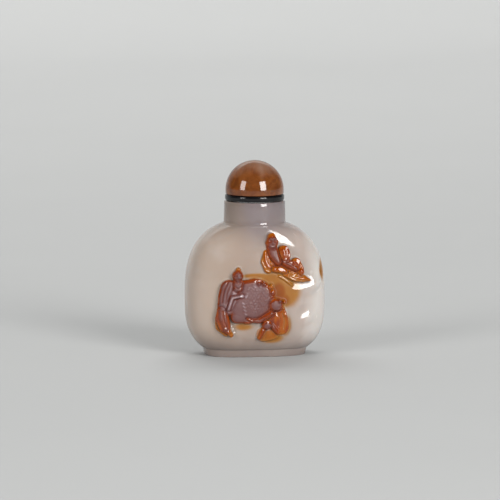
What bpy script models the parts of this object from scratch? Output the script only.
"""Agate snuff bottle: a hollow flattened body with a carved front, and a domed stopper on a cork.

Metres, +Z up. The origin is the centre of the foot's flat underside, and the carved front faces -Y.
"""

import math
from dataclasses import dataclass

import bmesh
import bpy
import numpy as np

# Body, seen from the front and from the side
BODY_WIDTH = 0.0445
BODY_DEPTH = 0.0270
WIDEST_HEIGHT = 0.0190
SHOULDER_HEIGHT = 0.0230
SHOULDER_SPREAD_FRONT = 0.0007
SHOULDER_SPREAD_SIDE = 0.0005

# Foot, an oval rim that the body stands on
FOOT_WIDTH = 0.0332
FOOT_DEPTH = 0.0196
FOOT_HEIGHT = 0.0025
FOOT_TAPER = 0.0005
FOOT_EDGE = 0.0003
FOOT_STEP = 0.0004

# Neck and mouth
NECK_RADIUS = 0.00970
NECK_FLARE = 0.00015
NECK_HEIGHT = 0.00715
NECK_FILLET = 0.0007
LIP_ROUND = 0.0004
MOUTH_RADIUS = 0.0040
MOUTH_EDGE = 0.0003

# Hollow
WALL = 0.0035
FLOOR_WALL = 0.0035
CAVITY_TOP_WALL = 0.0020

# Stopper
SEAT_GAP = 0.0002
COLLAR_INSET = 0.00025
COLLAR_THICKNESS = 0.0018
COLLAR_EDGE = 0.0004
CAP_INSET = 0.00015
CAP_SKIRT = 0.00135
CAP_EDGE = 0.0002
CORK_LENGTH = 0.0075
CORK_CLEARANCE = 0.0003
CORK_TAPER = 0.0003
CORK_EDGE = 0.0003

# Carving: how high the highest form stands, and how soft its edges and channels are
RELIEF_HEIGHT = 0.0023
RELIEF_EDGE = 0.0006
CHANNEL_WIDTH = 0.00045

# Powers of the rounded curves: 2 is an ellipse, and more is squarer
PLAN_POWER = 2.8
NECK_POWER = 2.0
SHOULDER_POWER = 2.6
BELLY_POWER = 3.2

# How late the shoulder turns from the body's oval to the neck's round
NECK_BLEND = 8

# Fineness of the mesh
FRONT_COLUMNS = 124
FRONT_SHARE = 0.78
BACK_STEP = math.radians(6)
ROW_STEP = 0.00035
ARC_STEPS = 3
CAVITY_ROWS = 10
KEPT_SHARE = 0.15
TURNED_STEPS = 40

# The carving is laid out on a field of 44.7 by 41.7 units, the body's width by its height above the floor
FIELD_WIDTH = 44.7
FIELD_HEIGHT = 41.7

# Levels that follow from the sizes above
NECK_BASE = WIDEST_HEIGHT + SHOULDER_HEIGHT
LIP_LEVEL = NECK_BASE + NECK_HEIGHT
COLLAR_LEVEL = LIP_LEVEL + SEAT_GAP
CAP_LEVEL = COLLAR_LEVEL + COLLAR_THICKNESS + SEAT_GAP
COLLAR_RADIUS = NECK_RADIUS - COLLAR_INSET
CAP_RADIUS = COLLAR_RADIUS - CAP_INSET


@dataclass(frozen=True)
class Ring:
    """One level section: half width across, half depth fore and aft, its power and its height."""

    half_width: float
    half_depth: float
    power: float
    height: float
    carved: bool = False

    def point(self, angle):
        """The point of the section at an angle from +X."""
        across, fore = math.cos(angle), math.sin(angle)
        bend = 2 / self.power
        return (
            math.copysign(self.half_width * abs(across) ** bend, across),
            math.copysign(self.half_depth * abs(fore) ** bend, fore),
            self.height,
        )


@dataclass(frozen=True)
class Form:
    """One form of the carving, a rounded stroke along a path of field units, wide at each point as given.

    Crown is how high its middle stands and rim how high its edge stands, as shares of RELIEF_HEIGHT.
    Channel is the share by which it lowers what lies behind it, in a groove along its edge.
    """

    name: str
    path: tuple
    widths: tuple
    crown: float
    rim: float
    channel: float = 0.0


# From the back to the front, so that each form lies over the ones before it
FIGURES = (
    # Low ground that the creature stands on, and the rock behind it
    Form("web", ((0.5, 7.8), (3.2, 8.0)), (2.4, 2.2), 0.26, 0.20),
    Form("rock_left", ((3.9, 14.2), (3.9, 11.4)), (2.2, 2.0), 0.40, 0.34),
    Form("rock", ((5.8, 15.4), (6.0, 12.4), (6.1, 10.1)), (1.6, 2.3, 2.6), 0.48, 0.36),
    Form("trailing_hem", ((-13.0, 12.6), (-12.8, 10.6), (-11.2, 8.6)), (1.9, 1.9, 1.3), 0.40, 0.32),
    # Creature: an egg-shaped body with a round head, lumps along the back and a bent front leg
    Form("belly", ((-8.0, 13.6), (-3.0, 13.6)), (2.1, 1.9), 0.86, 0.46),
    Form("body", ((-4.6, 18.3), (-2.6, 18.9)), (7.0, 6.6), 1.00, 0.50),
    Form("back_lump_1", ((-1.3, 24.0),), (0.65,), 0.92, 0.50, 0.20),
    Form("back_lump_2", ((0.2, 24.0),), (0.65,), 0.88, 0.50, 0.20),
    Form("back_lump_3", ((2.9, 23.3), (2.9, 22.7)), (0.55, 0.6), 0.70, 0.45, 0.20),
    Form("ear", ((3.2, 21.4), (3.2, 20.8)), (0.85, 0.9), 0.85, 0.50, 0.20),
    Form("thigh", ((-5.0, 13.1), (-3.4, 12.4), (-1.0, 12.3), (2.8, 14.6)), (0.4, 0.7, 0.95, 0.9), 0.86, 0.50, 0.25),
    Form("toe_inner", ((0.6, 10.0), (-0.9, 6.8)), (0.75, 0.6), 0.66, 0.36),
    Form("toe_outer", ((3.0, 10.6), (5.1, 8.4)), (0.75, 0.6), 0.66, 0.44),
    Form("knee", ((1.4, 11.0),), (1.6,), 0.88, 0.52, 0.20),
    Form("head", ((3.9, 17.2), (4.6, 17.0)), (2.0, 1.9), 0.96, 0.50, 0.25),
    Form("eye", ((5.4, 18.3),), (0.6,), 1.04, 0.76, 0.10),
    Form("nostril", ((6.9, 18.0),), (0.6,), 0.66, 0.44),
    Form("lip", ((6.2, 16.5),), (0.6,), 0.66, 0.44),
    # Rider beside it: a robed back, a bent leg, a sleeve across the creature and a small head
    Form("robe_fold", ((-8.6, 21.6), (-9.8, 18.2), (-10.8, 15.6)), (2.1, 2.1, 1.6), 0.94, 0.55),
    Form("robe", ((-10.5, 22.4), (-11.0, 19.6), (-11.7, 17.2)), (2.8, 2.9, 2.4), 0.98, 0.42, 0.15),
    Form("leg", ((-12.9, 15.6), (-12.6, 13.2), (-11.8, 10.6), (-10.8, 9.0)), (1.4, 2.1, 1.8, 0.9), 0.96, 0.42, 0.25),
    Form("foot", ((-10.6, 8.9), (-9.7, 7.8)), (0.9, 0.7), 0.74, 0.40, 0.10),
    Form("chest", ((-7.8, 24.6), (-7.9, 22.8)), (1.55, 1.5), 1.02, 0.55, 0.25),
    Form("topknot", ((-7.6, 28.2),), (0.85,), 0.80, 0.42),
    Form("rider_head", ((-7.8, 26.5),), (1.75,), 1.12, 0.56, 0.25),
    Form("sleeve", ((-6.7, 20.3), (-9.6, 19.7), (-10.7, 16.1)), (0.6, 0.65, 0.6), 1.16, 0.88, 0.20),
    # Upper figure: a tall-headed old man with a long beard, seated on a cloud
    Form("cloud_ridge", ((5.6, 26.1), (7.6, 24.9), (9.7, 23.2)), (0.45, 0.45, 0.45), 0.22, 0.12),
    Form("cloud_left", ((1.4, 33.3), (1.2, 30.8), (2.0, 28.7)), (1.1, 1.6, 1.6), 0.74, 0.38),
    Form("cloud_bed", ((3.0, 29.4), (8.6, 29.4)), (1.9, 1.9), 0.60, 0.40),
    Form("cloud_tail", ((7.8, 27.2), (10.8, 25.9), (13.3, 25.1), (15.2, 24.5)), (1.5, 1.7, 1.25, 0.5), 0.66, 0.34),
    Form("cloud_low", ((3.7, 28.3), (5.8, 28.1), (7.2, 27.6)), (0.9, 1.1, 0.9), 0.80, 0.42, 0.30),
    Form("knees", ((10.7, 30.2), (11.9, 28.2), (12.4, 27.1)), (1.5, 1.4, 1.0), 0.96, 0.42, 0.20),
    Form("lap", ((6.9, 30.7), (9.2, 29.4), (10.6, 28.4)), (1.2, 1.3, 1.0), 1.00, 0.52, 0.30),
    Form("shoulder", ((6.8, 33.8), (7.2, 32.4)), (1.85, 1.9), 0.98, 0.42, 0.15),
    Form("beard", ((3.1, 35.4), (3.6, 33.0), (4.9, 30.6)), (1.8, 1.7, 1.2), 1.10, 0.58, 0.30),
    Form("tall_head", ((3.2, 36.6), (3.1, 38.1)), (2.1, 1.3), 1.16, 0.60, 0.25),
)


def rounded(share, power):
    """The other side of a rounded quadrant whose one side is a share from 0 to 1."""
    return max(0.0, 1 - min(1.0, share) ** power) ** (1 / power)


def blend(start, end, share):
    """The value a share of the way from start to end."""
    return start + (end - start) * share


def quadrant(half, end_half, run, power):
    """The height of a whole rounded quadrant that narrows from half to end_half over a run."""
    return run / rounded(end_half / half, power)


def arc_shares():
    """Sine and cosine at each step of a quarter circle, both ends included."""
    turns = [math.pi / 2 * step / ARC_STEPS for step in range(ARC_STEPS + 1)]
    return [(math.sin(turn), math.cos(turn)) for turn in turns]


def columns():
    """Angles round the body, close and even across the carved front and wider round the back."""
    front = math.radians(270)
    angles = []
    for step in range(FRONT_COLUMNS):
        across = FRONT_SHARE * (2 * step / FRONT_COLUMNS - 1)
        angles.append(front + math.asin(math.copysign(abs(across) ** (PLAN_POWER / 2), across)))
    reach = math.asin(FRONT_SHARE ** (PLAN_POWER / 2))
    left = 2 * math.pi - 2 * reach
    wide = round(left / BACK_STEP)
    angles += [front + reach + left * step / wide for step in range(wide)]
    return angles


def foot_rings():
    """The foot, from its flat underside up to the crease below the body."""
    low_width, low_depth = FOOT_WIDTH / 2 - FOOT_TAPER, FOOT_DEPTH / 2 - FOOT_TAPER
    rings = []
    for rise, reach in arc_shares():
        inset = FOOT_EDGE * (1 - rise)
        rings.append(Ring(low_width - inset, low_depth - inset, PLAN_POWER, FOOT_EDGE * (1 - reach)))
    rings.append(Ring(FOOT_WIDTH / 2, FOOT_DEPTH / 2, PLAN_POWER, FOOT_HEIGHT))
    return rings


def body_rings():
    """The carved body, from the crease above the foot up to the base of the neck."""
    wide, deep = BODY_WIDTH / 2, BODY_DEPTH / 2
    neck_wide = NECK_RADIUS + NECK_FLARE + SHOULDER_SPREAD_FRONT
    neck_deep = min(NECK_RADIUS + NECK_FLARE + SHOULDER_SPREAD_SIDE, 0.98 * deep)
    foot_wide = FOOT_WIDTH / 2 + FOOT_STEP
    foot_deep = min(FOOT_DEPTH / 2 + FOOT_STEP, 0.98 * deep)
    belly = WIDEST_HEIGHT - FOOT_HEIGHT
    up_wide = quadrant(wide, neck_wide, SHOULDER_HEIGHT, SHOULDER_POWER)
    up_deep = quadrant(deep, neck_deep, SHOULDER_HEIGHT, SHOULDER_POWER)
    down_wide = quadrant(wide, foot_wide, belly, BELLY_POWER)
    down_deep = quadrant(deep, foot_deep, belly, BELLY_POWER)
    rows = round((NECK_BASE - FOOT_HEIGHT) / ROW_STEP)
    rings = []
    for row in range(rows + 1):
        height = blend(FOOT_HEIGHT, NECK_BASE, row / rows)
        away = abs(height - WIDEST_HEIGHT)
        if height >= WIDEST_HEIGHT:
            half_width = wide * rounded(away / up_wide, SHOULDER_POWER)
            half_depth = deep * rounded(away / up_deep, SHOULDER_POWER)
            share = (away / SHOULDER_HEIGHT) ** NECK_BLEND
        else:
            half_width = wide * rounded(away / down_wide, BELLY_POWER)
            half_depth = deep * rounded(away / down_deep, BELLY_POWER)
            share = 0.0
        power = blend(PLAN_POWER, NECK_POWER, share)
        rings.append(Ring(half_width, half_depth, power, height, carved=True))
    return rings


def neck_rings(shoulder):
    """The neck, from the shoulder's last ring up over the lip and in to the edge of the mouth."""
    base = NECK_RADIUS + NECK_FLARE
    rings = []
    for rise, reach in arc_shares()[1:]:
        half_width = blend(shoulder.half_width, base, rise)
        half_depth = blend(shoulder.half_depth, base, rise)
        rings.append(Ring(half_width, half_depth, NECK_POWER, NECK_BASE + NECK_FILLET * (1 - reach)))
    for rise, reach in arc_shares():
        radius = NECK_RADIUS - LIP_ROUND * (1 - reach)
        rings.append(Ring(radius, radius, NECK_POWER, LIP_LEVEL - LIP_ROUND * (1 - rise)))
    return rings


def hollow_rings():
    """The mouth and the hollow, from the edge of the mouth down to the hollow's floor."""
    wide, deep = BODY_WIDTH / 2 - WALL, BODY_DEPTH / 2 - WALL
    top = NECK_BASE - CAVITY_TOP_WALL
    bottom = FOOT_HEIGHT + FLOOR_WALL
    mouth = MOUTH_RADIUS + MOUTH_EDGE
    rings = [
        Ring(mouth, mouth, NECK_POWER, LIP_LEVEL),
        Ring(MOUTH_RADIUS, MOUTH_RADIUS, NECK_POWER, LIP_LEVEL - MOUTH_EDGE),
    ]
    for step in range(CAVITY_ROWS + 1):
        turn = math.pi / 2 * step / CAVITY_ROWS
        spread = math.sin(turn) ** (2 / SHOULDER_POWER)
        rise = math.cos(turn) ** (2 / SHOULDER_POWER)
        half_width = blend(MOUTH_RADIUS, wide, spread)
        half_depth = blend(MOUTH_RADIUS, deep, spread)
        power = blend(NECK_POWER, PLAN_POWER, spread)
        rings.append(Ring(half_width, half_depth, power, blend(WIDEST_HEIGHT, top, rise)))
    for step in range(1, CAVITY_ROWS):
        turn = math.pi / 2 * step / CAVITY_ROWS
        spread = math.cos(turn) ** (2 / BELLY_POWER)
        drop = math.sin(turn) ** (2 / BELLY_POWER)
        rings.append(Ring(wide * spread, deep * spread, PLAN_POWER, blend(WIDEST_HEIGHT, bottom, drop)))
    return rings


def stroke_height(form, across, up):
    """How high a form stands over each point of the field, and how far each point is outside it."""
    path, widths = form.path, form.widths
    pairs = list(zip(path, path[1:], widths, widths[1:])) or [(path[0], path[0], widths[0], widths[0])]
    inside = np.full_like(across, -np.inf)
    depth = np.full_like(across, -np.inf)
    for start, end, start_width, end_width in pairs:
        run = (end[0] - start[0], end[1] - start[1])
        length = max(run[0] ** 2 + run[1] ** 2, 1e-9)
        share = ((across - start[0]) * run[0] + (up - start[1]) * run[1]) / length
        share = np.clip(share, 0, 1)
        away = np.hypot(across - start[0] - share * run[0], up - start[1] - share * run[1])
        width = start_width + (end_width - start_width) * share
        inside = np.maximum(inside, width - away)
        depth = np.maximum(depth, 1 - away / width)
    dome = np.sqrt(np.clip(1 - (1 - np.clip(depth, 0, 1)) ** 2, 0, 1))
    unit = BODY_WIDTH / FIELD_WIDTH
    edge = np.clip(inside * unit / RELIEF_EDGE + 0.5, 0, 1)
    edge = edge * edge * (3 - 2 * edge)
    return edge * (form.rim + (form.crown - form.rim) * dome), -inside * unit


def carving(points):
    """How far the carving raises each point of the front, in metres."""
    across = points[:, 0] * FIELD_WIDTH / BODY_WIDTH
    up = points[:, 2] * FIELD_HEIGHT / NECK_BASE
    height = np.zeros(len(points))
    for form in FIGURES:
        raised, outside = stroke_height(form, across, up)
        channel = form.channel * np.exp(-((outside / CHANNEL_WIDTH) ** 2))
        height = np.maximum(height * (1 - channel), raised)
    return np.where(points[:, 1] < 0, height * RELIEF_HEIGHT, 0)


def loft(rings):
    """Skin a stack of rings into one closed body and raise the carving out of the carved ones."""
    bm = bmesh.new()
    angles = columns()
    loops = [[bm.verts.new(ring.point(angle)) for angle in angles] for ring in rings]
    for low, high in zip(loops, loops[1:]):
        for here in range(len(angles)):
            beside = (here + 1) % len(angles)
            bm.faces.new((low[here], low[beside], high[beside], high[here]))
    bm.faces.new(loops[0][::-1])
    bm.faces.new(loops[-1])
    bm.normal_update()
    carved = [vert for ring, loop in zip(rings, loops) if ring.carved for vert in loop]
    raised = carving(np.array([vert.co for vert in carved], dtype=float))
    for vert, height in zip(carved, raised):
        vert.co += vert.normal * float(height)
    return bm


def turned(profile):
    """Turn a profile of radius and height, bottom to top, round the upright axis."""
    bm = bmesh.new()
    verts = [bm.verts.new((radius, 0, height)) for radius, height in profile]
    edges = [bm.edges.new(pair) for pair in zip(verts, verts[1:])]
    bmesh.ops.spin(
        bm, geom=verts + edges, cent=(0, 0, 0), axis=(0, 0, 1), angle=2 * math.pi,
        steps=TURNED_STEPS, use_merge=True, use_duplicate=False,
    )
    bmesh.ops.remove_doubles(bm, verts=bm.verts[:], dist=1e-6)
    bmesh.ops.recalc_face_normals(bm, faces=bm.faces[:])
    return bm


def rounded_disc(radius, low, high, edge):
    """The profile of a disc with rounded edges, from its low centre to its high centre."""
    shares = arc_shares()
    profile = [(0, low)]
    profile += [(radius - edge * (1 - rise), low + edge * (1 - reach)) for rise, reach in shares]
    profile += [(radius - edge * (1 - reach), high - edge * (1 - rise)) for rise, reach in shares]
    profile.append((0, high))
    return profile


def dome_profile():
    """The cap's profile: a flat base with a rounded edge, a short skirt and half a ball."""
    profile = [(0, CAP_LEVEL)]
    for rise, reach in arc_shares():
        profile.append((CAP_RADIUS - CAP_EDGE * (1 - rise), CAP_LEVEL + CAP_EDGE * (1 - reach)))
    middle = CAP_LEVEL + CAP_SKIRT
    steps = 3 * ARC_STEPS
    for step in range(steps):
        turn = math.pi / 2 * step / steps
        profile.append((CAP_RADIUS * math.cos(turn), middle + CAP_RADIUS * math.sin(turn)))
    profile.append((0, middle + CAP_RADIUS))
    return profile


def cork_profile():
    """The cork's profile: a slightly tapered plug with softened ends."""
    radius = MOUTH_RADIUS - CORK_CLEARANCE
    high = COLLAR_LEVEL - SEAT_GAP
    low = high - CORK_LENGTH
    tip = radius - CORK_TAPER
    return [
        (0, low),
        (tip - CORK_EDGE, low),
        (tip, low + CORK_EDGE),
        (radius, high - CORK_EDGE),
        (radius - CORK_EDGE, high),
        (0, high),
    ]


def material(name, colour, roughness, subsurface=0.0):
    """A plain glossy or dull material."""
    made = bpy.data.materials.new(name)
    made.use_nodes = True
    shader = made.node_tree.nodes["Principled BSDF"]
    shader.inputs["Base Color"].default_value = (*colour, 1)
    shader.inputs["Roughness"].default_value = roughness
    shader.inputs["Metallic"].default_value = 0.0
    shader.inputs["Subsurface Weight"].default_value = subsurface
    shader.inputs["Subsurface Scale"].default_value = WALL
    made.diffuse_color = (*colour, 1)
    return made


def place(name, bm, finish, parent, sharp=40):
    """Make an object of a mesh, smooth but for its sharp edges, under the bottle's empty."""
    mesh = bpy.data.meshes.new(name)
    bm.to_mesh(mesh)
    bm.free()
    mesh.shade_smooth()
    mesh.set_sharp_from_angle(angle=math.radians(sharp))
    mesh.materials.append(finish)
    made = bpy.data.objects.new(name, mesh)
    bpy.context.scene.collection.objects.link(made)
    made.parent = parent
    return made


def make_bottle(parent):
    """The hollow vessel: foot, carved body, neck, mouth and hollow as one stone."""
    body = body_rings()
    rings = foot_rings() + body + neck_rings(body[-1]) + hollow_rings()
    agate = material("grey_agate", (0.50, 0.42, 0.36), 0.15, subsurface=0.3)
    made = place("bottle", loft(rings), agate, parent)
    thin = made.modifiers.new("Even facets", "DECIMATE")
    thin.ratio = KEPT_SHARE
    return made


def make_stopper(parent):
    """The cap, the collar and the cork, each seated a small gap from the next."""
    brown = material("brown_agate", (0.20, 0.07, 0.02), 0.12, subsurface=0.2)
    black = material("black_collar", (0.01, 0.01, 0.01), 0.2)
    bark = material("cork", (0.40, 0.24, 0.12), 0.85)
    top = COLLAR_LEVEL + COLLAR_THICKNESS
    place("stopper_cap", turned(dome_profile()), brown, parent)
    place("stopper_collar", turned(rounded_disc(COLLAR_RADIUS, COLLAR_LEVEL, top, COLLAR_EDGE)), black, parent)
    place("stopper_cork", turned(cork_profile()), bark, parent)


def main():
    """Clear the scene and build the bottle with its stopper."""
    for old in list(bpy.data.objects):
        bpy.data.objects.remove(old, do_unlink=True)
    root = bpy.data.objects.new("snuff_bottle", None)
    bpy.context.scene.collection.objects.link(root)
    make_bottle(root)
    make_stopper(root)


main()
